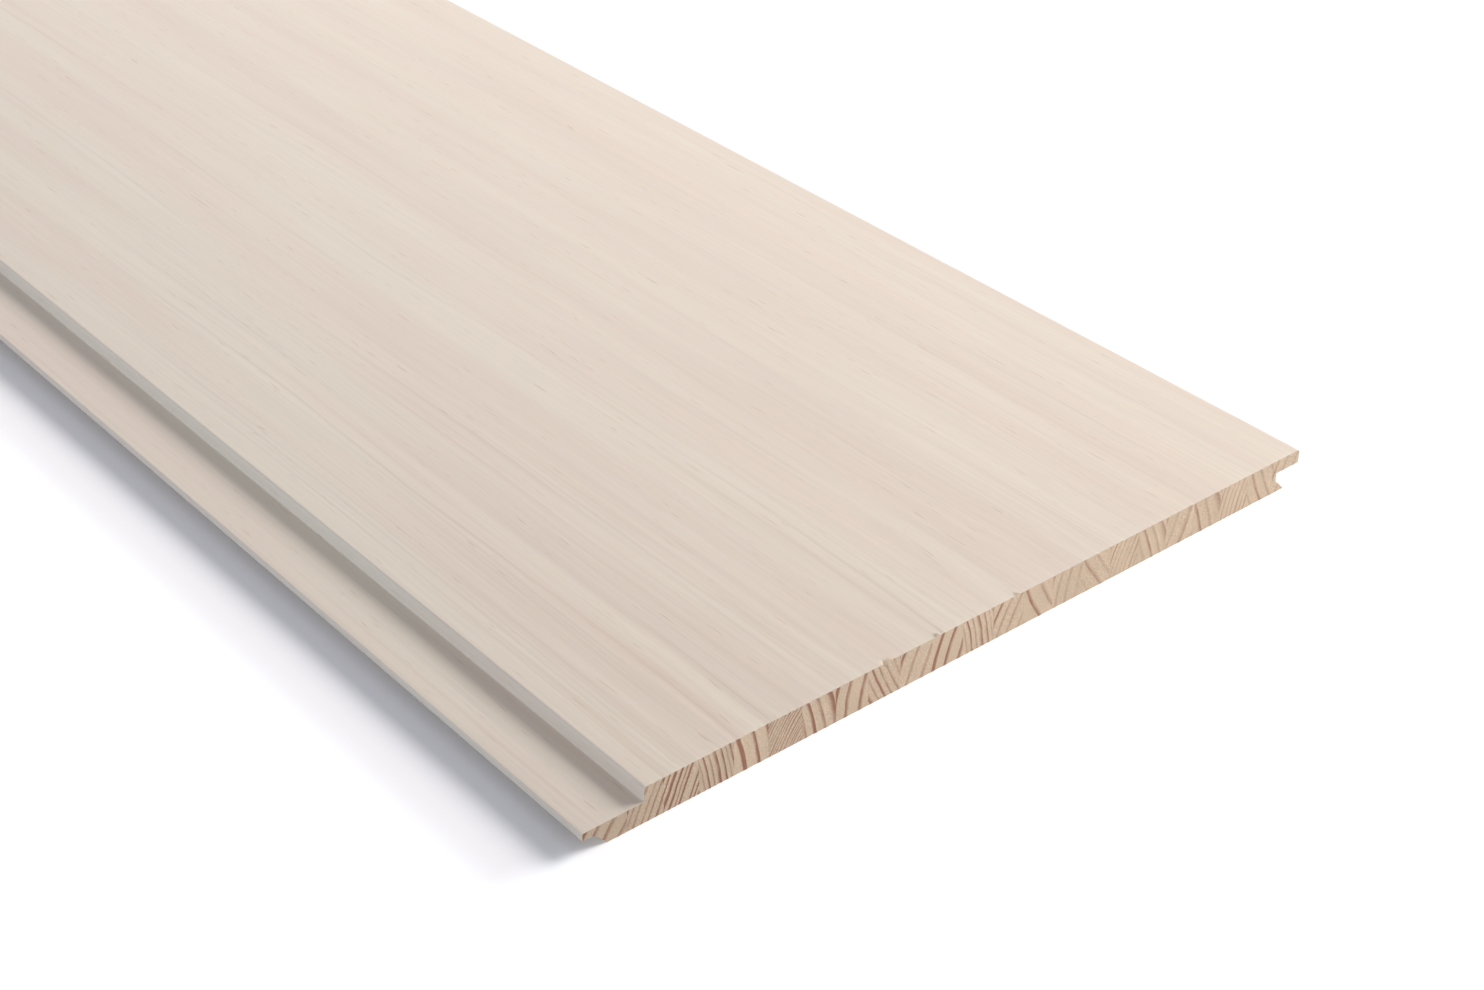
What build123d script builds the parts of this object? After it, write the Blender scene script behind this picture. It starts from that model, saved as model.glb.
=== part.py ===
from build123d import *
import os

# Wall panel of edge-glued pine staves, with a stepped tongue along one edge and a groove along the other.
# The panel lies face up. X runs along the board, Y across it from the tongue to the groove, and Z up from
# the back to the face. The origin is the middle of the back.

# The stock, in millimetres
LENGTH = 2400.0
WIDTH = 329.5  # from the tip of the tongue to the tip of the face lip
THICKNESS = 14.0
STAVE_WIDTH = 14.2  # one full stave of the glued-up blank

# The joint between two panels
SHADOW_GAP = 12.5  # floor left in view between two fitted faces
GAP_DEPTH = 5.8  # from the face down to that floor
LIP_LENGTH = 12.0  # face lip, beyond the bottom of the groove
TIP_CLEARANCE = 0.5  # between the tongue's tip and the bottom of the groove
SEAT_CLEARANCE = 0.2  # above and below the tongue once it is in the groove
NIB_THICKNESS = 3.1  # thin end of the tongue
NIB_LENGTH = 4.5
RELIEF_RUN = 5.0  # slope under the tongue, measured across the board

# Worked edges
FACE_ROUND = 1.2  # both long edges of the face
NIB_ROUND = 0.4  # tip of the tongue and end of the relief slope
FOOT_COVE = 0.6  # where the step meets the floor

tongue_tip = -WIDTH / 2
lip_tip = WIDTH / 2
groove_bottom = lip_tip - LIP_LENGTH
tongue_length = SHADOW_GAP + LIP_LENGTH - TIP_CLEARANCE
step_wall = tongue_tip + tongue_length

floor_height = THICKNESS - GAP_DEPTH
nib_underside = floor_height - NIB_THICKNESS
lip_underside = floor_height + SEAT_CLEARANCE
backing_top = nib_underside - SEAT_CLEARANCE  # thick end of the backing lip, at the bottom of the groove
relief_slope = RELIEF_RUN / nib_underside
backing_tip = groove_bottom + backing_top * relief_slope
relief_root = tongue_tip + NIB_LENGTH
relief_end = relief_root + RELIEF_RUN

# Full staves are counted in from the groove edge, and the one at the tongue edge takes what they leave
full_staves = int(WIDTH / STAVE_WIDTH) - 1


def glue_lines():
    """Y of every stave's two sides, from the tongue to the groove."""
    return [tongue_tip] + [lip_tip - i * STAVE_WIDTH for i in range(full_staves, -1, -1)]


def near(vertex, y, z):
    """Whether a corner of the section is the one at (y, z)."""
    return abs(vertex.Y - y) < 1e-6 and abs(vertex.Z - z) < 1e-6


def panel_section():
    """The moulded section of the whole panel, on the plane of one end."""
    end_plane = Plane.YZ.offset(-LENGTH / 2)
    with BuildSketch(end_plane) as section:
        with BuildLine():
            Polyline(
                (relief_end, 0),
                (backing_tip, 0),
                (groove_bottom, backing_top),
                (groove_bottom, lip_underside),
                (lip_tip, lip_underside),
                (lip_tip, THICKNESS),
                (step_wall, THICKNESS),
                (step_wall, floor_height),
                (tongue_tip, floor_height),
                (tongue_tip, nib_underside),
                (relief_root, nib_underside),
                close=True,
            )
        make_face()
        corners = section.vertices()
        for y, z, radius in (
            (lip_tip, THICKNESS, FACE_ROUND),
            (step_wall, THICKNESS, FACE_ROUND),
            (step_wall, floor_height, FOOT_COVE),
            (tongue_tip, floor_height, NIB_ROUND),
            (tongue_tip, nib_underside, NIB_ROUND),
            (relief_end, 0, NIB_ROUND),
        ):
            fillet(corners.filter_by(lambda corner: near(corner, y, z)), radius)
    return section


def write(stave, name):
    """Labels a finished stave and writes it as its own file."""
    stave.part.label = name
    export_step(stave.part, f"parts/{name}.step")


os.makedirs("parts", exist_ok=True)
section = panel_section()
sides = glue_lines()
for number, (left, right) in enumerate(zip(sides, sides[1:]), start=1):
    with BuildPart() as stave:
        with BuildSketch(Plane.YZ.offset(-LENGTH / 2)):
            add(section.sketch_local)
            with Locations(((left + right) / 2, THICKNESS / 2)):
                Rectangle(right - left, THICKNESS, mode=Mode.INTERSECT)
        extrude(amount=LENGTH)
    write(stave, f"stave_{number:02d}")
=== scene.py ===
"""Looks of a whitewashed pine wall panel, laid out as a Blender add-on and run as a script.

The panel is glued up from narrow staves. Each stave is a section carried along the board, with its own
growth rings. The rings are one solid pattern, so they show as arcs on the sawn ends and as streaks on
the face. Whitewash covers the face, the step, the tongue's floor and the outer edges.
"""

import bpy
import numpy as np
from bpy.props import FloatProperty, FloatVectorProperty, PointerProperty
from mathutils import Matrix, Vector


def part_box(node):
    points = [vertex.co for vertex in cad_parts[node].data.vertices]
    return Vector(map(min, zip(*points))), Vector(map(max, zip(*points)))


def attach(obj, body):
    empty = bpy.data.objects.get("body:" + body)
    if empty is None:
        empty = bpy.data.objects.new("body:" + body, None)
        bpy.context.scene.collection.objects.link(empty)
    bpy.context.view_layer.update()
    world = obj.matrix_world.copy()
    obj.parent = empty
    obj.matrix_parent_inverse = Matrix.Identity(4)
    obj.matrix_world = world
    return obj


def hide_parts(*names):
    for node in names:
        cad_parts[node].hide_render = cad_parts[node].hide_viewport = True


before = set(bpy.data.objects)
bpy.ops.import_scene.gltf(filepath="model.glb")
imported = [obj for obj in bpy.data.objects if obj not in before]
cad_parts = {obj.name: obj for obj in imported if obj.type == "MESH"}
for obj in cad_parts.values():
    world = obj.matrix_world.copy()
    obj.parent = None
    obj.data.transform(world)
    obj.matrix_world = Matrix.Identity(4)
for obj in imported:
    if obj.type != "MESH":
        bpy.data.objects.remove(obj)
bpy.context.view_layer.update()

bl_info = {
    "name": "Whitewashed Wall Panel",
    "version": (1, 0, 0),
    "blender": (4, 5, 0),
    "location": "3D View > Sidebar > Wall Panel",
    "description": "Makes a glued-up pine wall panel and the stage it lies on",
    "category": "Add Mesh",
}

MM = 0.001

STAVES = sorted(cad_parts)
TONGUE, STEP, GROOVE = STAVES[0], STAVES[1], STAVES[-1]
(END_FAR, TONGUE_TIP, _), (END_NEAR, _, FLOOR_HEIGHT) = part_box(TONGUE)
(_, _, _), (_, LIP_TIP, FACE_HEIGHT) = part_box(GROOVE)

# Rings seen on the sawn end, from the tongue: lean from upright in degrees (positive towards the groove
# as they rise), spacing in mm, where one meets the top in mm from the stave's left side, how dark the
# rings are, and how light the stave's wood is. That lightness rises from the tongue towards the groove:
# partly the staves' own tone and partly painted light, the groove side being lit more by the lamps
SEEN_RINGS = (
    (33, 4.9, 0.9, 0.70, 0.80),
    (27, 2.6, 2.8, 0.60, 0.84),
    (22, 2.3, 0.9, 1.00, 0.88),
    (-15, 2.4, 1.6, 0.55, 0.90),
    (-15, 6.3, 2.4, 1.00, 0.96),
    (36, 1.25, 1.3, 0.75, 0.90),
    (-17, 4.6, 2.6, 0.60, 0.94),
    (14, 6.1, 0.8, 0.85, 0.96),
    (-18, 2.9, 1.5, 0.55, 0.99),
    (25, 6.4, 1.8, 0.45, 0.97),
    (23, 6.1, 4.8, 0.90, 0.99),
    (-15, 2.5, 2.0, 0.40, 1.00),
    (28, 4.4, 3.6, 0.40, 1.01),
    (-20, 7.3, 1.0, 0.35, 1.00),
)

# Darker streaks seen on the face by the near end: mm from the step's corner, mm to either side, darkness
FACE_STREAKS = (
    (8.5, 3.0, 0.10), (17.5, 3.4, 0.09), (29.0, 4.5, 0.04), (38.0, 4.0, 0.10), (50.5, 3.4, 0.09),
    (63.0, 2.2, 0.05), (80.5, 4.2, 0.06), (90.0, 2.2, 0.06), (120.5, 4.6, 0.07),
)
STREAK_LENGTH = 260  # mm from the near end to where they have faded away

# Fibres torn by the saw at the near end: mm from the step's corner, mm wide, mm raised (or sunk)
TORN_FIBRES = ((98.6, 1.2, -1.4), (100.9, 2.4, 0.5), (122.2, 1.2, 1.0), (159.2, 1.4, 0.8))

# Noise in the pine: mm to a wave along, across and up the board, seed, and detail. Each stave adds its own
# number to the seeds of its noise, and the board's noise runs on from stave to stave.
STAVE_NOISE = {
    "drift": ((260, 50, 50), 0, 1.0),
    "patches": ((110, 5, 5), 20, 1.5),
    "waver": ((45, 16, 16), 50, 2.5),
    "fibres": ((60, 0.5, 0.5), 100, 3.0),
    "bands": ((380, 9, 14), 150, 2.0),
    "specks": ((3, 0.34, 0.34), 200, 2.0),
    "canals": ((16, 0.8, 0.8), 250, 1.0),
}
BOARD_NOISE = {
    "blush": ((300, 16, 20), 7, 2.0),
    "brushed": ((90, 1.3, 1.3), 8, 3.0),
    "sway": ((85, 24, 24), 9, 1.5),
    "thin coat": ((240, 16, 16), 11, 1.0),
}

# Colours of the light
LAMP_WHITE = (1.0, 0.985, 0.965)
FILL_COLOUR = (0.80, 1.0, 1.2)
SKY_COLOUR = (0.95, 0.985, 1.05)


class PanelSection(bpy.types.PropertyGroup):
    """Sizes of the moulded section that the frame's boxes don't give."""

    tongue: FloatProperty(name="Tongue", description="From the tongue's tip to the step",
                          default=24 * MM, unit="LENGTH")
    nib: FloatProperty(name="Nib", description="Length of the tongue's thin end",
                       default=4.5 * MM, unit="LENGTH")
    nib_thickness: FloatProperty(name="Nib Thickness", description="Thickness of the tongue's thin end",
                                 default=3.1 * MM, unit="LENGTH")
    relief_run: FloatProperty(name="Relief Run", description="Slope under the tongue, across the board",
                              default=5 * MM, unit="LENGTH")
    lip: FloatProperty(name="Face Lip", description="From the bottom of the groove to the lip's tip",
                       default=12 * MM, unit="LENGTH")
    seat_clearance: FloatProperty(name="Seat Clearance", description="Above and below a fitted tongue",
                                  default=0.2 * MM, unit="LENGTH")
    face_round: FloatProperty(name="Face Round", description="Radius of both long edges of the face",
                              default=1.2 * MM, unit="LENGTH")
    nib_round: FloatProperty(name="Nib Round", description="Radius of the tongue's tip",
                             default=0.4 * MM, unit="LENGTH")
    foot_cove: FloatProperty(name="Foot Cove", description="Radius where the step meets the floor",
                             default=0.6 * MM, unit="LENGTH")
    cell: FloatProperty(name="Cell", description="Width of the faces across the section",
                        default=0.36 * MM, unit="LENGTH")


class PanelLooks(bpy.types.PropertyGroup):
    """Colours and finish of the pine and its whitewash."""

    early_wood: FloatVectorProperty(name="Early Wood", description="Pale part of a growth ring",
                                    default=(0.77, 0.60, 0.435), subtype="COLOR")
    late_wood: FloatVectorProperty(name="Late Wood", description="Dark line of a growth ring",
                                   default=(0.37, 0.16, 0.10), subtype="COLOR")
    whitewash: FloatVectorProperty(name="Whitewash", description="Colour of the coat",
                                   default=(0.737, 0.657, 0.566), subtype="COLOR")
    blush: FloatVectorProperty(name="Blush", description="Colour of the coat where the wood shows through",
                               default=(0.722, 0.606, 0.531), subtype="COLOR")
    sawn: FloatVectorProperty(name="Sawn End", description="Tint of the cut ends, which drink in the light",
                              default=(0.945, 0.89, 0.86), subtype="COLOR")
    end_contrast: FloatProperty(name="End Contrast", description="How much darker rings are on cut ends",
                                default=2.3)
    cover: FloatProperty(name="Cover", description="How much of the wood the coat hides",
                         default=0.76, subtype="FACTOR")
    end_relief: FloatProperty(name="End Relief", description="How far late wood stands out of the sawn end",
                              default=0.10 * MM, unit="LENGTH")
    ragged: FloatProperty(name="Ragged Arris", description="Unevenness of the sawn end's arrises",
                          default=0.12 * MM, unit="LENGTH")


class StageLooks(bpy.types.PropertyGroup):
    """The camera, the lamps and the floor."""

    camera_offset: FloatVectorProperty(name="Camera Offset", description="From the step's near top corner",
                                       default=(0.5016, -0.3611, 0.5106), subtype="TRANSLATION")
    turn: FloatProperty(name="Turn", description="Camera's heading, from +Y towards -X",
                        default=np.radians(51.418), subtype="ANGLE")
    dip: FloatProperty(name="Dip", description="Camera's angle below the horizon",
                       default=np.radians(33.168), subtype="ANGLE")
    roll: FloatProperty(name="Roll", description="Camera's turn about its own axis",
                        default=np.radians(-0.768), subtype="ANGLE")
    lens: FloatProperty(name="Lens", description="Focal length in mm on a 36 mm sensor", default=62.38)
    key_from: FloatVectorProperty(name="Key From", description="Direction of the main lamp",
                                  default=(0.45, 1.5, 0.96), subtype="DIRECTION")
    key_level: FloatProperty(name="Key Level", description="Main lamp's share of the light on the face",
                             default=0.378)
    softbox_away: FloatProperty(name="Softbox Away", description="From the board's middle to the softbox",
                                default=0.45, unit="LENGTH")
    softbox_height: FloatProperty(name="Softbox Height", description="Softbox's middle above the floor",
                                  default=0.35, unit="LENGTH")
    softbox_size: FloatVectorProperty(name="Softbox Size", description="Along the board and up", size=2,
                                      default=(3.6, 0.2), unit="LENGTH")
    softbox_level: FloatProperty(name="Softbox Level", description="Its share of the light on the face",
                                 default=0.20)
    fill_from: FloatVectorProperty(name="Fill From", description="Direction of the weak lamp on the step",
                                   default=(0.5, -0.87, 0.16), subtype="DIRECTION")
    fill_level: FloatProperty(name="Fill Level", description="Weak lamp's share of the light on the face",
                              default=0.083)
    sky_level: FloatProperty(name="Sky Level", description="Strength of the light from all round",
                             default=0.345)
    floor_colour: FloatVectorProperty(name="Floor Colour", description="Plain pale floor",
                                      default=(0.60, 0.60, 0.60), subtype="COLOR")
    # Floor beside the board as seen: greyer and tinted than the far floor, a painted shadow around the
    # board's own
    floor_with_painted_shadow: FloatVectorProperty(name="Seen Floor", description="Floor beside the board as seen",
                                    default=(1.035, 0.985, 0.985), subtype="COLOR", max=2.0)
    far_floor: FloatVectorProperty(name="Far Floor", description="Floor away from the board as seen",
                                   default=(1.35, 1.35, 1.35), subtype="COLOR", max=2.0)


def step_corner():
    """Y of the step's top corner, where its round meets the flat of the face."""
    size = bpy.context.scene.panel_section
    return TONGUE_TIP + size.tongue + size.face_round


def straight(a, b):
    """A straight piece of a section's side, as a quadratic curve whose middle point is halfway."""
    a, b = np.array(a, float), np.array(b, float)
    return a, (a + b) / 2, b


def curved(a, corner, b):
    """A rounded piece of a section's side: a quadratic curve from a to b, pulled towards the corner."""
    return np.array(a, float), np.array(corner, float), np.array(b, float)


def on_piece(piece, t):
    """Points of a piece: (1 - t) squared of its start, 2t(1 - t) of its corner and t squared of its end."""
    a, corner, b = piece
    t = t[:, None]
    return (1 - t) ** 2 * a + 2 * t * (1 - t) * corner + t**2 * b


def section_sides(bands, cell):
    """Left and right points of a section's rows, from the bottom up, and which rows are whitewashed.

    A band runs between a left and a right piece. Both are sampled at the same even values of t, about a
    cell apart or closer on the longer of the two.
    """
    left, right, washed = [], [], []
    for position, (left_piece, right_piece, coats) in enumerate(bands):
        reach = max(np.linalg.norm(corner - a) + np.linalg.norm(b - corner)
                    for a, corner, b in (left_piece, right_piece))
        count = max(4, int(np.ceil(reach / cell)))
        t = np.linspace(0, 1, count + 1)
        if position < len(bands) - 1:
            t = t[:-1]
        left.append(on_piece(left_piece, t))
        right.append(on_piece(right_piece, t))
        washed += [coats] * count
    return np.concatenate(left), np.concatenate(right), np.array(washed, bool)


def plain_bands(left, right, top):
    """Section of a plain stave: one band between two upright sides."""
    return [(straight((left, 0), (left, top)), straight((right, 0), (right, top)), (False, False))]


def tongue_bands(size, left, right, top):
    """Section of the tongue's stave. Its left side goes up the relief slope, out under the nib and
    round the tip to the floor, while its right side is upright."""
    under = top - size.nib_thickness
    root = left + size.nib
    r = size.nib_round
    bare, coated = (False, False), (True, False)
    heights = (0, under, under + 0.9 * MM, under + 1.2 * MM, top - r, top)
    turns = [straight((right, a), (right, b)) for a, b in zip(heights, heights[1:])]
    return [
        (straight((root + size.relief_run, 0), (root, under)), turns[0], bare),
        (straight((root, under), (left + r, under)), turns[1], bare),
        (curved((left + r, under), (left, under), (left, under + r)), turns[2], coated),
        (straight((left, under + r), (left, top - r)), turns[3], coated),
        (curved((left, top - r), (left, top), (left + r, top)), turns[4], coated),
    ]


def step_bands(size, left, right, top):
    """Section of the step's stave. Its left side goes up to the floor, across it, and up the step."""
    floor, wall = FLOOR_HEIGHT, TONGUE_TIP + size.tongue
    cove, r = size.foot_cove, size.face_round
    bare, coated = (False, False), (True, False)
    heights = (0, floor - 2 * MM, floor, floor + cove, top - r, top)
    turns = [straight((right, a), (right, b)) for a, b in zip(heights, heights[1:])]
    return [
        (straight((left, 0), (left, floor)), turns[0], bare),
        (straight((left, floor), (wall - cove, floor)), turns[1], coated),
        (curved((wall - cove, floor), (wall, floor), (wall, floor + cove)), turns[2], coated),
        (straight((wall, floor + cove), (wall, top - r)), turns[3], coated),
        (curved((wall, top - r), (wall, top), (wall + r, top)), turns[4], coated),
    ]


def groove_bands(size, left, right, top):
    """Section of the groove's stave. Its right side goes up the backing lip's slope and the bottom of the
    groove, out under the face lip and round its tip, while its left side is upright."""
    lip_under = FLOOR_HEIGHT + size.seat_clearance
    backing = FLOOR_HEIGHT - size.nib_thickness - size.seat_clearance
    bottom = right - size.lip
    run = backing * size.relief_run / (FLOOR_HEIGHT - size.nib_thickness)
    r = size.face_round
    bare, coated = (False, False), (False, True)
    heights = (0, backing, lip_under, lip_under + 2 * MM, top - r, top)
    turns = [straight((left, a), (left, b)) for a, b in zip(heights, heights[1:])]
    return [
        (turns[0], straight((bottom + run, 0), (bottom, backing)), bare),
        (turns[1], straight((bottom, backing), (bottom, lip_under)), bare),
        (turns[2], straight((bottom, lip_under), (right, lip_under)), bare),
        (turns[3], straight((right, lip_under), (right, top - r)), coated),
        (turns[4], curved((right, top - r), (right, top), (right - r, top)), coated),
    ]


def stations():
    """X of the stations along the board: close together at both ends, each gap 1.3 times the last."""
    first_gap, growth = 0.35 * MM, 1.3
    half = (END_NEAR - END_FAR) / 2
    count = int(np.log(1 + half * (growth - 1) / first_gap) / np.log(growth))
    reach = np.cumsum(growth ** np.arange(count))
    steps = np.concatenate([[0], reach / reach[-1] * half])
    return np.concatenate([END_FAR + steps, END_NEAR - steps[-2::-1]])


def ripple(places, wavelengths, seed):
    """Sum of sine waves over the places, one to a wavelength, with seeded directions and phases."""
    rng = np.random.default_rng(seed)
    total = np.zeros(len(places))
    for wavelength in wavelengths:
        direction = rng.normal(size=places.shape[1])
        direction /= np.linalg.norm(direction)
        total += np.sin(places @ direction * 2 * np.pi / wavelength + rng.uniform(0, 2 * np.pi))
    return total / len(wavelengths)


class Rings:
    """Growth rings of one stave: circles about a pith that runs along the board outside the stave."""

    first_seed = 40
    widest_late = 1.9  # mm of late wood in a broad ring
    largest_share = 0.45  # of a narrow ring that is late wood

    def __init__(self, number, left, top):
        rng = np.random.default_rng(self.first_seed + number)
        if number < len(SEEN_RINGS):
            # The seen staves' tones carry painted light, rising towards the groove; the other staves' tones
            # are random
            lean, spacing, first, self.dark, self.tone = SEEN_RINGS[number]
        else:
            lean = (1 if number % 2 == 0 else -1) * rng.uniform(12, 32)
            spacing, first = rng.uniform(2.2, 6.5), rng.uniform(0, 3)
            self.dark, self.tone = rng.uniform(0.2, 0.35), rng.uniform(0.97, 1.03)
        self.seed = number
        self.left = left / MM
        self.spacing = spacing
        self.late_share = min(self.largest_share, self.widest_late / spacing)
        self.radius = rng.uniform(70, 130)
        side = 1 if rng.uniform() < 0.5 else -1
        across = np.array([np.cos(np.radians(lean)), -np.sin(np.radians(lean))])
        meets_top = np.array([left / MM + first, top / MM])
        self.pith = meets_top - side * self.radius * across

    def late(self, y, z):
        """1 on the late wood and 0 between: the distance to the pith, in spacings, with a narrow peak."""
        peak = 0.13
        away = np.hypot(y / MM - self.pith[0], z / MM - self.pith[1]) - self.radius
        phase = away / self.spacing
        return np.exp(-((phase - np.round(phase)) / peak) ** 2)


def weathered(points, is_end, rings, looks):
    """Moves points for saw and handling, as one smooth field over the whole board.

    Early wood sinks into the sawn ends, a little unevenly. The ends' top arrises are worn down by a
    ripple that fades away from the end and from the face, and each torn fibre is a small bump or dent on
    the near one.
    """
    arris_fade, fibre_length, fibre_depth = 0.7 * MM, 1.2 * MM, 1.1 * MM
    arris_waves, saw_waves = (2.3 * MM, 1.1 * MM, 0.8 * MM), (0.9 * MM, 1.4 * MM, 2.1 * MM)
    unevenness = 0.3
    x, y, z = points.T
    from_end = np.minimum(x - END_FAR, END_NEAR - x)
    from_face = FACE_HEIGHT - z
    moved = points.copy()
    top_fade = np.exp(-from_end / arris_fade) * np.exp(-from_face / arris_fade)
    across = np.stack([y, np.where(x > 0, 0.0, 1.0)], axis=1)
    moved[:, 2] -= looks.ragged * top_fade * (1 + ripple(across, arris_waves, seed=5))
    depth = np.exp(-((END_NEAR - x) / fibre_length) ** 2) * np.exp(-(from_face / fibre_depth) ** 2)
    for place, width, rise in TORN_FIBRES:
        bump = np.exp(-((y - step_corner() - place * MM) / (0.5 * width * MM)) ** 2)
        moved[:, 2] += rise * MM * bump * depth
    rough = unevenness * ripple(points[:, 1:], saw_waves, seed=9)
    sunk = looks.end_relief * (1 - rings.late(y, z) + rough)
    inwards = np.where(x > 0, -1, 1)
    moved[:, 0] += np.where(is_end, inwards * sunk, 0)
    return moved


def is_torn(middles):
    """Whether each face's middle is on a torn fibre, where the coat is gone."""
    bare_length, bare_depth = 1.8 * MM, 1.2 * MM
    x, y, z = middles.T
    torn = np.zeros(len(middles), bool)
    for place, width, _ in TORN_FIBRES:
        torn |= np.abs(y - step_corner() - place * MM) < 0.6 * width * MM
    return torn & (END_NEAR - x < bare_length) & (z > FACE_HEIGHT - bare_depth)


def stave_surface(bands, cell):
    """Points and faces of a stave before weathering, with which faces are coated or sawn.

    Each row of the section runs straight from its left point to its right point. The outline of those
    rows is carried through the stations, and the rows themselves close both ends.
    """
    left, right, coats = section_sides(bands, cell)
    rows = len(left)
    columns = int(np.ceil(np.max(np.abs(right - left)[:, 0]) / cell)) + 1
    share = np.linspace(0, 1, columns)[None, :, None]
    end = ((1 - share) * left[:, None] + share * right[:, None]).reshape(-1, 2)
    grid = np.arange(rows * columns).reshape(rows, columns)
    outline = np.concatenate([grid[0, :-1], grid[:-1, -1], grid[-1, :0:-1], grid[:0:-1, 0]])
    places = stations()
    inner = places[1:-1]
    count, around = len(end), len(outline)
    far = np.column_stack([np.full(count, places[0]), end])
    near = np.column_stack([np.full(count, places[-1]), end])
    between = np.column_stack([np.repeat(inner, around), np.tile(end[outline], (len(inner), 1))])
    points = np.concatenate([far, between, near])
    near_start = count + len(between)
    rings = np.concatenate([outline[None], count + np.arange(len(between)).reshape(-1, around),
                            (near_start + outline)[None]])
    after = np.roll(rings, -1, axis=1)
    sides = np.stack([rings[:-1], after[:-1], after[1:], rings[1:]], axis=-1).reshape(-1, 4)
    cap = np.stack([grid[:-1, :-1], grid[:-1, 1:], grid[1:, 1:], grid[1:, :-1]], axis=-1).reshape(-1, 4)
    faces = np.concatenate([sides, cap[:, ::-1], cap + near_start])
    outline_coats = np.concatenate([np.zeros(columns - 1, bool), coats[:, 1],
                                    np.ones(columns - 1, bool), coats[::-1, 0]])
    coated = np.concatenate([np.tile(outline_coats, len(rings) - 1), np.zeros(2 * len(cap), bool)])
    sawn = np.arange(len(faces)) >= len(sides)
    is_end = np.ones(len(points), bool)
    is_end[count:near_start] = False
    return points, faces, coated, sawn, is_end


def add_node(tree, kind, inputs=(), **settings):
    """Adds a shader node. An input's value is a socket to link or a constant."""
    made = tree.nodes.new(kind)
    for name, value in settings.items():
        setattr(made, name, value)
    for key, value in inputs:
        if isinstance(value, bpy.types.NodeSocket):
            tree.links.new(value, made.inputs[key])
        else:
            made.inputs[key].default_value = value
    return made


def calculate(tree, operation, *values):
    """Output of a Math node on the given sockets or numbers."""
    return add_node(tree, "ShaderNodeMath", list(enumerate(values)), operation=operation).outputs[0]


def blend_colours(tree, share, first, second):
    """Output of a colour Mix node: first where share is 0 and second where it is 1."""
    made = add_node(tree, "ShaderNodeMix", data_type="RGBA")
    for socket, value in ((made.inputs[0], share), (made.inputs[6], first), (made.inputs[7], second)):
        if isinstance(value, bpy.types.NodeSocket):
            tree.links.new(value, socket)
        else:
            socket.default_value = value if isinstance(value, float) else (*value, 1)
    return made.outputs[2]


def calculate_vector(tree, operation, *values):
    """Output of a Vector Math node on the given sockets or vectors."""
    made = add_node(tree, "ShaderNodeVectorMath", list(enumerate(values)), operation=operation)
    return made.outputs["Value" if operation in ("LENGTH", "DISTANCE") else "Vector"]


def scaled(tree, vector, factor):
    """The vector or colour times a number."""
    return add_node(tree, "ShaderNodeVectorMath", [(0, vector), ("Scale", factor)],
                    operation="SCALE").outputs[0]


def eased(tree, value, start, end, top=1.0):
    """0 up to where the value is at start, top from where it is at end, and a smooth step between."""
    inputs = [("Value", value), ("From Min", start), ("From Max", end), ("To Max", top)]
    return add_node(tree, "ShaderNodeMapRange", inputs, interpolation_type="SMOOTHSTEP").outputs[0]


def spread(tree, noise, middle, reach):
    """A value from 0 to 1 spread out evenly: from the middle less reach to the middle plus reach."""
    return calculate(tree, "MULTIPLY_ADD", noise, 2 * reach, middle - reach)


def grain_noise(tree, place, name, rings=None):
    """The named noise on the place in mm, from 0 to 1: a stave's if its rings are given, or the board's."""
    wavelengths, seed, detail = STAVE_NOISE[name] if rings else BOARD_NOISE[name]
    if rings:
        seed += rings.seed
    stretched = calculate_vector(tree, "MULTIPLY_ADD", place, [1 / w for w in wavelengths],
                                 (seed * 7.3, seed * 3.1, seed * 5.7))
    return add_node(tree, "ShaderNodeTexNoise", [("Vector", stretched), ("Scale", 1.0),
                                                 ("Detail", detail)]).outputs[0]


def pith_distance(tree, place, rings):
    """Distance from the stave's pith in mm, less the radius of the ring that is seen at the near end.

    It wanders slowly, and more the further it is from the near end, and wavers a little everywhere.
    """
    settling, wander, waver_by = 90.0, 8.0, 0.9  # mm
    axes = add_node(tree, "ShaderNodeSeparateXYZ", [(0, place)]).outputs
    across = add_node(tree, "ShaderNodeCombineXYZ", [(1, axes[1]), (2, axes[2])]).outputs[0]
    away = calculate_vector(tree, "DISTANCE", across, (0, *rings.pith))
    from_end = calculate(tree, "SUBTRACT", END_NEAR / MM, axes[0])
    settled = calculate(tree, "DIVIDE", from_end, calculate(tree, "ADD", from_end, settling))
    drift = spread(tree, grain_noise(tree, place, "drift", rings), 0, wander)
    drift = calculate(tree, "MULTIPLY", settled, drift)
    waver = spread(tree, grain_noise(tree, place, "waver", rings), -rings.radius, waver_by)
    return calculate(tree, "ADD", calculate(tree, "ADD", away, drift), waver)


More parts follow.
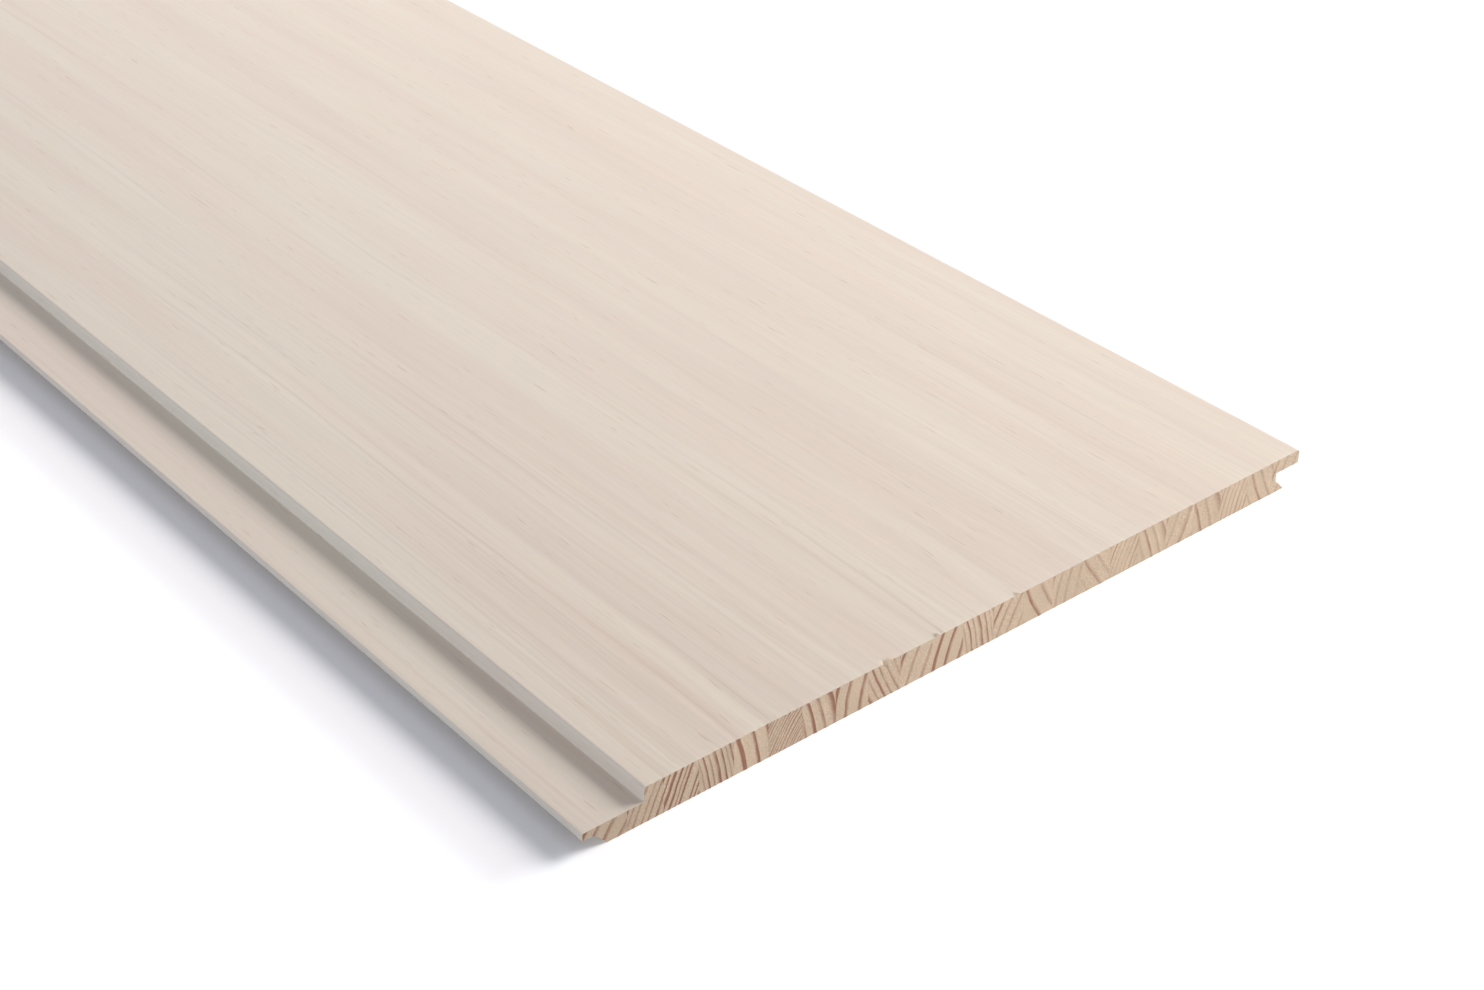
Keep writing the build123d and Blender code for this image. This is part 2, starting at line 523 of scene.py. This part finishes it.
def late_wood(tree, place, rings):
    """The dark line of each ring, which grows slowly on the pith's side and stops short on the other.

    The ring that is seen at the near end is the darkest. The others have places, widths and strengths of
    their own, and every line comes and goes along the board, though hardly on the sawn ends. Places and
    widths are in spacings.
    """
    uneven_by, moved_by, darkest_at, stops_at = 0.9, 0.12, -0.02, 0.08
    seen_strength, weakest, patchiness = 0.95, 0.35, 0.6
    ring = calculate(tree, "DIVIDE", pith_distance(tree, place, rings), rings.spacing)
    years = add_node(tree, "ShaderNodeTexNoise", [("W", ring), ("Scale", 0.37), ("Detail", 0.0)],
                     noise_dimensions="1D").outputs[0]
    counted = calculate(tree, "ABSOLUTE", ring)
    uneven = calculate(tree, "DIVIDE", counted, calculate(tree, "ADD", counted, 1.0))
    uneven = calculate(tree, "MULTIPLY", uneven, spread(tree, years, 0, uneven_by))
    ring = calculate(tree, "ADD", ring, uneven)
    nearest = calculate(tree, "ROUND", ring)
    other = calculate(tree, "MINIMUM", calculate(tree, "ABSOLUTE", nearest), 1.0)
    each = add_node(tree, "ShaderNodeTexWhiteNoise", [("W", nearest)], noise_dimensions="1D").outputs
    own_strength, own_place, own_width = add_node(tree, "ShaderNodeSeparateColor",
                                                  [(0, each["Color"])]).outputs

    moved = calculate(tree, "MULTIPLY", other, spread(tree, own_place, 0, moved_by))
    past = calculate(tree, "SUBTRACT", calculate(tree, "SUBTRACT", ring, nearest), moved)
    starts_at = calculate(tree, "MULTIPLY_ADD", own_width, -0.5 * rings.late_share, -0.7 * rings.late_share)
    inner, outer = eased(tree, past, starts_at, darkest_at), eased(tree, past, stops_at, 0.0)
    line = calculate(tree, "MINIMUM", inner, outer)

    weaker = calculate(tree, "MULTIPLY_ADD", own_strength, 0.5, weakest - seen_strength)
    strength = calculate(tree, "MULTIPLY_ADD", other, weaker, seen_strength)
    patches = spread(tree, grain_noise(tree, place, "patches", rings), 1.0, patchiness)
    strength = calculate(tree, "MULTIPLY", strength, patches)
    return calculate(tree, "MULTIPLY", line, calculate(tree, "MULTIPLY", strength, rings.dark))


def face_streaks(tree, place, rings):
    """How dark the seen streaks are: each is darkest on its line and gone at its reach to either side,
    and all of them fade away from the near end. Only the streaks on or close to the stave are added."""
    half_stave, close = 7, 20
    axes = add_node(tree, "ShaderNodeSeparateXYZ", [(0, place)]).outputs
    total = 0.0
    for from_corner, reach, darkness in FACE_STREAKS:
        middle = step_corner() / MM + from_corner
        if abs(middle - rings.left - half_stave) < close:
            away = calculate(tree, "ABSOLUTE", calculate(tree, "SUBTRACT", axes[1], middle))
            total = calculate(tree, "ADD", total, eased(tree, away, reach, 0.0, darkness))
    near_end = END_NEAR / MM
    return calculate(tree, "MULTIPLY", total, eased(tree, axes[0], near_end - STREAK_LENGTH, near_end))


def thickness_of_coat(tree, place):
    """0 at either end of the board, where the wood drinks in more of the coat, and nearly 1 in its middle:
    the distance from the nearest end over itself plus 150 mm."""
    half_way = 150.0  # mm from the end to where it is a half
    along = add_node(tree, "ShaderNodeSeparateXYZ", [(0, place)]).outputs[0]
    from_end = calculate(tree, "SUBTRACT", END_NEAR / MM, calculate(tree, "ABSOLUTE", along))
    return calculate(tree, "DIVIDE", from_end, calculate(tree, "ADD", from_end, half_way))


def swayed(tree, place):
    """The place in mm, moved across the board by slow noise so that fibres sway from side to side."""
    farthest = 2.5  # mm
    sway = spread(tree, grain_noise(tree, place, "sway"), 0, farthest)
    aside = add_node(tree, "ShaderNodeCombineXYZ", [(1, sway), (2, sway)]).outputs[0]
    return calculate_vector(tree, "ADD", place, aside)


def bare_wood(tree, place, late, fibres, sawn, rings, looks):
    """Colour of the wood: early wood darkened by the rings, which show the most where the coat is thin and
    on the sawn ends, then lightened and darkened by its fibres and by broader bands. The sawn ends also
    have their own tint and the fine specks of the fibres' cut tubes."""
    fibre_contrast, band_contrast, speck_contrast, darkest = 0.15, 0.12, 0.55, 0.9
    thin = add_node(tree, "ShaderNodeMapRange", [("Value", grain_noise(tree, place, "thin coat")),
                                                 ("From Min", 0.38), ("From Max", 0.68),
                                                 ("To Min", 0.15), ("To Max", 0.9)]).outputs[0]
    shown = calculate(tree, "MAXIMUM", thin, calculate(tree, "MULTIPLY", sawn, looks.end_contrast))
    dark = calculate(tree, "MINIMUM", calculate(tree, "MULTIPLY", late, shown), darkest)
    bands = grain_noise(tree, place, "bands", rings)
    # The stave's tone lightens or darkens its wood; on the seen staves it rises towards the groove as
    # painted light
    bands = spread(tree, bands, rings.tone, band_contrast * rings.tone)
    light = calculate(tree, "MULTIPLY", spread(tree, fibres, 1.0, fibre_contrast), bands)
    wood = scaled(tree, blend_colours(tree, dark, looks.early_wood, looks.late_wood), light)
    specks = spread(tree, grain_noise(tree, place, "specks", rings), 1.0, speck_contrast)
    cut = scaled(tree, calculate_vector(tree, "MULTIPLY", wood, tuple(looks.sawn)), specks)
    return blend_colours(tree, sawn, wood, cut)


def whitewash(tree, place, thick, rings, looks):
    """Colour of the coat: whitewash with broad patches of blush, in brushed streaks that are fainter where
    the coat is thick, and a little darker on a stave of low tone, which on the staves by the tongue is
    painted shade."""
    thin_contrast, fainter_by, stave_share, plain_tone = 0.24, 0.17, 0.1, 0.95
    patches = eased(tree, grain_noise(tree, place, "blush"), 0.32, 0.68)
    brushed = calculate(tree, "SUBTRACT", grain_noise(tree, place, "brushed"), 0.5)
    contrast = calculate(tree, "MULTIPLY_ADD", thick, -fainter_by, thin_contrast)
    brushed = calculate(tree, "MULTIPLY", brushed, contrast)
    light = calculate(tree, "ADD", brushed, 1 + stave_share * (rings.tone - plain_tone))
    return scaled(tree, blend_colours(tree, patches, looks.whitewash, looks.blush), light)


def pine(name, rings, looks):
    """Pine with growth rings about the stave's own pith, and whitewash where the faces are coated.

    The wood comes through the coat, and the seen streaks and short resin canals are drawn over both.
    Fibres and late wood also stand out a little as a bump.
    """
    thin_loss, thick_gain, canal_darkness = 0.05, 0.15, 0.25
    bare_roughness, coat_smooths_by, late_height = 0.84, 0.28, 0.6
    material = bpy.data.materials.new(name)
    material.use_nodes = True
    tree = material.node_tree
    shader = tree.nodes["Principled BSDF"]
    placed = add_node(tree, "ShaderNodeTexCoord").outputs["Object"]
    coat = add_node(tree, "ShaderNodeAttribute", attribute_name="coat").outputs["Fac"]
    sawn = add_node(tree, "ShaderNodeAttribute", attribute_name="sawn").outputs["Fac"]

    place = scaled(tree, placed, 1 / MM)
    late = late_wood(tree, place, rings)
    place = swayed(tree, place)
    fibres = grain_noise(tree, place, "fibres", rings)
    thick = thickness_of_coat(tree, place)
    cover = calculate(tree, "MULTIPLY_ADD", thick, thick_gain, looks.cover - thin_loss)
    colour = blend_colours(tree, calculate(tree, "MULTIPLY", coat, cover),
                           bare_wood(tree, place, late, fibres, sawn, rings, looks),
                           whitewash(tree, place, thick, rings, looks))
    marks = calculate(tree, "MULTIPLY", face_streaks(tree, place, rings), coat)
    canals = eased(tree, grain_noise(tree, place, "canals", rings), 0.70, 0.78)
    marks = calculate(tree, "MULTIPLY_ADD", canals, canal_darkness, marks)
    tree.links.new(blend_colours(tree, marks, colour, looks.late_wood), shader.inputs["Base Color"])
    roughness = calculate(tree, "MULTIPLY_ADD", coat, -coat_smooths_by, bare_roughness)
    tree.links.new(roughness, shader.inputs["Roughness"])
    shader.inputs["Specular IOR Level"].default_value = 0.3

    height = calculate(tree, "ADD", fibres, calculate(tree, "MULTIPLY", late, late_height))
    bump = add_node(tree, "ShaderNodeBump", [("Height", height), ("Distance", 0.05 * MM),
                                             ("Strength", 0.6)])
    tree.links.new(bump.outputs[0], shader.inputs["Normal"])
    return material


def make_stave(name, bands):
    """Builds a stave from its section, gives it its pine and puts it in the place of its node."""
    scene = bpy.context.scene
    size, looks = scene.panel_section, scene.panel_looks
    low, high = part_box(name)
    rings = Rings(STAVES.index(name), low.y, high.z)
    points, faces, coated, sawn, is_end = stave_surface(bands, size.cell)
    coated &= ~is_torn(points[faces].mean(axis=1))
    mesh = bpy.data.meshes.new(name + "_pine")
    mesh.from_pydata(weathered(points, is_end, rings, looks).tolist(), [], faces.tolist())
    mesh.attributes.new("coat", "FLOAT", "FACE").data.foreach_set("value", coated.astype(np.float32))
    mesh.attributes.new("sawn", "FLOAT", "FACE").data.foreach_set("value", sawn.astype(np.float32))
    mesh.shade_smooth()
    mesh.set_sharp_from_angle(angle=np.radians(35))
    mesh.materials.append(pine(name + "_pine", rings, looks))
    piece = bpy.data.objects.new(name + "_pine", mesh)
    bpy.context.collection.objects.link(piece)
    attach(piece, "root")
    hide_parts(name)
    return piece


class WALLPANEL_OT_field(bpy.types.Operator):
    """Makes the plain staves between the step and the groove"""

    bl_idname = "wall_panel.field"
    bl_label = "Field Staves"

    def execute(self, context):
        for name in STAVES[2:-1]:
            low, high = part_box(name)
            make_stave(name, plain_bands(low.y, high.y, high.z))
        return {"FINISHED"}


class WALLPANEL_OT_tongue(bpy.types.Operator):
    """Makes the edge stave with the tongue's nib and the slope under it"""

    bl_idname = "wall_panel.tongue"
    bl_label = "Tongue Stave"

    def execute(self, context):
        low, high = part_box(TONGUE)
        make_stave(TONGUE, tongue_bands(context.scene.panel_section, low.y, high.y, high.z))
        return {"FINISHED"}


class WALLPANEL_OT_step(bpy.types.Operator):
    """Makes the stave that holds the step from the tongue's floor up to the face"""

    bl_idname = "wall_panel.step"
    bl_label = "Step Stave"

    def execute(self, context):
        low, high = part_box(STEP)
        make_stave(STEP, step_bands(context.scene.panel_section, low.y, high.y, high.z))
        return {"FINISHED"}


class WALLPANEL_OT_groove(bpy.types.Operator):
    """Makes the edge stave with the groove between its face lip and its backing lip"""

    bl_idname = "wall_panel.groove"
    bl_label = "Groove Stave"

    def execute(self, context):
        low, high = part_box(GROOVE)
        make_stave(GROOVE, groove_bands(context.scene.panel_section, low.y, high.y, high.z))
        return {"FINISHED"}


def seen_directly(tree):
    """1 for rays from the camera and those mirrored or let through to it, and 0 for the rest."""
    path = add_node(tree, "ShaderNodeLightPath").outputs
    glossy = calculate(tree, "MAXIMUM", path["Is Glossy Ray"], path["Is Transmission Ray"])
    return calculate(tree, "MAXIMUM", path["Is Camera Ray"], glossy)


def make_floor(stage):
    """A plain pale floor just under the back. It is whiter as it is seen than in the light it gives back.
    Beside the board it is seen greyer and tinted, a painted shadow that deepens and colours the board's own
    shadow; past a line beyond the board's sides and just short of its ends it is whiter, so the background
    is an even white."""
    half, drop = 6.0, 0.05 * MM
    # Where the painted shadow beside the board ends and how far it takes to fade into the white floor
    beyond_sides, short_of_ends, fade = 22 * MM, 12 * MM, 25 * MM
    corners = np.array([[-1, -1], [1, -1], [1, 1], [-1, 1]]) * half
    mesh = bpy.data.meshes.new("floor")
    mesh.from_pydata(np.column_stack([corners, np.full(4, -drop)]).tolist(), [], [(0, 1, 2, 3)])
    material = bpy.data.materials.new("floor")
    material.use_nodes = True
    tree = material.node_tree
    tree.nodes.remove(tree.nodes["Principled BSDF"])
    placed = add_node(tree, "ShaderNodeTexCoord").outputs["Object"]
    line = (END_NEAR - short_of_ends, LIP_TIP + beyond_sides, 1)
    past_line = calculate_vector(tree, "SUBTRACT", calculate_vector(tree, "ABSOLUTE", placed), line)
    away = calculate_vector(tree, "LENGTH", calculate_vector(tree, "MAXIMUM", past_line, (0, 0, 0)))
    share = eased(tree, away, 0.0, fade)
    seen = blend_colours(tree, share, stage.floor_with_painted_shadow, stage.far_floor)
    colour = blend_colours(tree, seen_directly(tree), stage.floor_colour, seen)
    matt = add_node(tree, "ShaderNodeBsdfDiffuse", [("Color", colour)])
    tree.links.new(matt.outputs[0], tree.nodes["Material Output"].inputs["Surface"])
    mesh.materials.append(material)
    floor = bpy.data.objects.new("floor", mesh)
    bpy.context.collection.objects.link(floor)


def make_sun(name, source, level, colour, spread_angle):
    """A distant lamp whose light on a level face is the given share of a plain white's brightness. The
    angle that it seems to span is in degrees."""
    source = Vector(source).normalized()
    lamp = bpy.data.lights.new(name, "SUN")
    lamp.energy = level * np.pi / source.z
    lamp.color = colour
    lamp.angle = np.radians(spread_angle)
    held = bpy.data.objects.new(name, lamp)
    held.rotation_euler = source.to_track_quat("Z", "Y").to_euler()
    bpy.context.collection.objects.link(held)


def make_softbox(stage):
    """A long low softbox beside the groove, parallel to the board. A long lamp lights a level face in
    proportion to its height over its distance squared, so the side nearest to it is the brightest."""
    lamp = bpy.data.lights.new("softbox", "AREA")
    lamp.shape = "RECTANGLE"
    lamp.size, lamp.size_y = stage.softbox_size
    lamp.color = LAMP_WHITE
    away = Vector((0, stage.softbox_away, stage.softbox_height))
    share = stage.softbox_size[1] * stage.softbox_height / away.length_squared / 2
    lamp.energy = np.pi * lamp.size * lamp.size_y * stage.softbox_level / share
    held = bpy.data.objects.new("softbox", lamp)
    held.location = away
    held.rotation_euler = away.to_track_quat("Z", "Y").to_euler()
    bpy.context.collection.objects.link(held)


def make_sky(stage):
    """Even, slightly cool light from all round, which is plain white as it is seen."""
    world = bpy.data.worlds.new("studio")
    world.use_nodes = True
    tree = world.node_tree
    seen = seen_directly(tree)
    colour = blend_colours(tree, seen, SKY_COLOUR, (1, 1, 1))
    tree.links.new(colour, tree.nodes["Background"].inputs["Color"])
    strength = calculate(tree, "MULTIPLY_ADD", seen, 1 - stage.sky_level, stage.sky_level)
    tree.links.new(strength, tree.nodes["Background"].inputs["Strength"])
    bpy.context.scene.world = world


def make_camera(stage):
    """The camera at the photograph's place: turned about Z, dipped and rolled."""
    camera = bpy.data.cameras.new("camera")
    camera.lens = stage.lens
    camera.sensor_width = 36.0
    camera.sensor_fit = "HORIZONTAL"
    camera.clip_start = 0.01
    corner = Vector((END_NEAR, step_corner(), FACE_HEIGHT))
    turned = (Matrix.Rotation(stage.turn, 4, "Z") @ Matrix.Rotation(np.pi / 2 - stage.dip, 4, "X")
              @ Matrix.Rotation(stage.roll, 4, "Z"))
    held = bpy.data.objects.new("camera", camera)
    held.location = corner + Vector(stage.camera_offset)
    held.rotation_euler = turned.to_euler()
    bpy.context.collection.objects.link(held)
    bpy.context.scene.camera = held


class WALLPANEL_OT_stage(bpy.types.Operator):
    """Makes the floor, the lamps, the light from all round and the camera"""

    bl_idname = "wall_panel.stage"
    bl_label = "Stage"

    def execute(self, context):
        stage = context.scene.panel_stage
        make_floor(stage)
        make_sky(stage)
        make_sun("key", stage.key_from, stage.key_level, LAMP_WHITE, spread_angle=28)
        make_sun("fill", stage.fill_from, stage.fill_level, FILL_COLOUR, spread_angle=40)
        make_softbox(stage)
        make_camera(stage)
        context.scene.view_settings.view_transform = "Standard"
        return {"FINISHED"}


OPERATORS = (WALLPANEL_OT_tongue, WALLPANEL_OT_step, WALLPANEL_OT_field, WALLPANEL_OT_groove,
             WALLPANEL_OT_stage)


class WALLPANEL_PT_sidebar(bpy.types.Panel):
    """Lists the panel's pieces and its stage"""

    bl_label = "Wall Panel"
    bl_idname = "WALLPANEL_PT_sidebar"
    bl_space_type = "VIEW_3D"
    bl_region_type = "UI"
    bl_category = "Wall Panel"

    def draw(self, context):
        for operator in OPERATORS:
            self.layout.operator(operator.bl_idname)


GROUPS = {"panel_section": PanelSection, "panel_looks": PanelLooks, "panel_stage": StageLooks}


def register():
    for name, group in GROUPS.items():
        bpy.utils.register_class(group)
        setattr(bpy.types.Scene, name, PointerProperty(type=group))
    for made in (*OPERATORS, WALLPANEL_PT_sidebar):
        bpy.utils.register_class(made)


def unregister():
    for made in (WALLPANEL_PT_sidebar, *reversed(OPERATORS)):
        bpy.utils.unregister_class(made)
    for name, group in GROUPS.items():
        delattr(bpy.types.Scene, name)
        bpy.utils.unregister_class(group)


def main():
    register()
    bpy.ops.wall_panel.tongue()
    bpy.ops.wall_panel.step()
    bpy.ops.wall_panel.field()
    bpy.ops.wall_panel.groove()
    bpy.ops.wall_panel.stage()


if __name__ == "__main__":
    main()
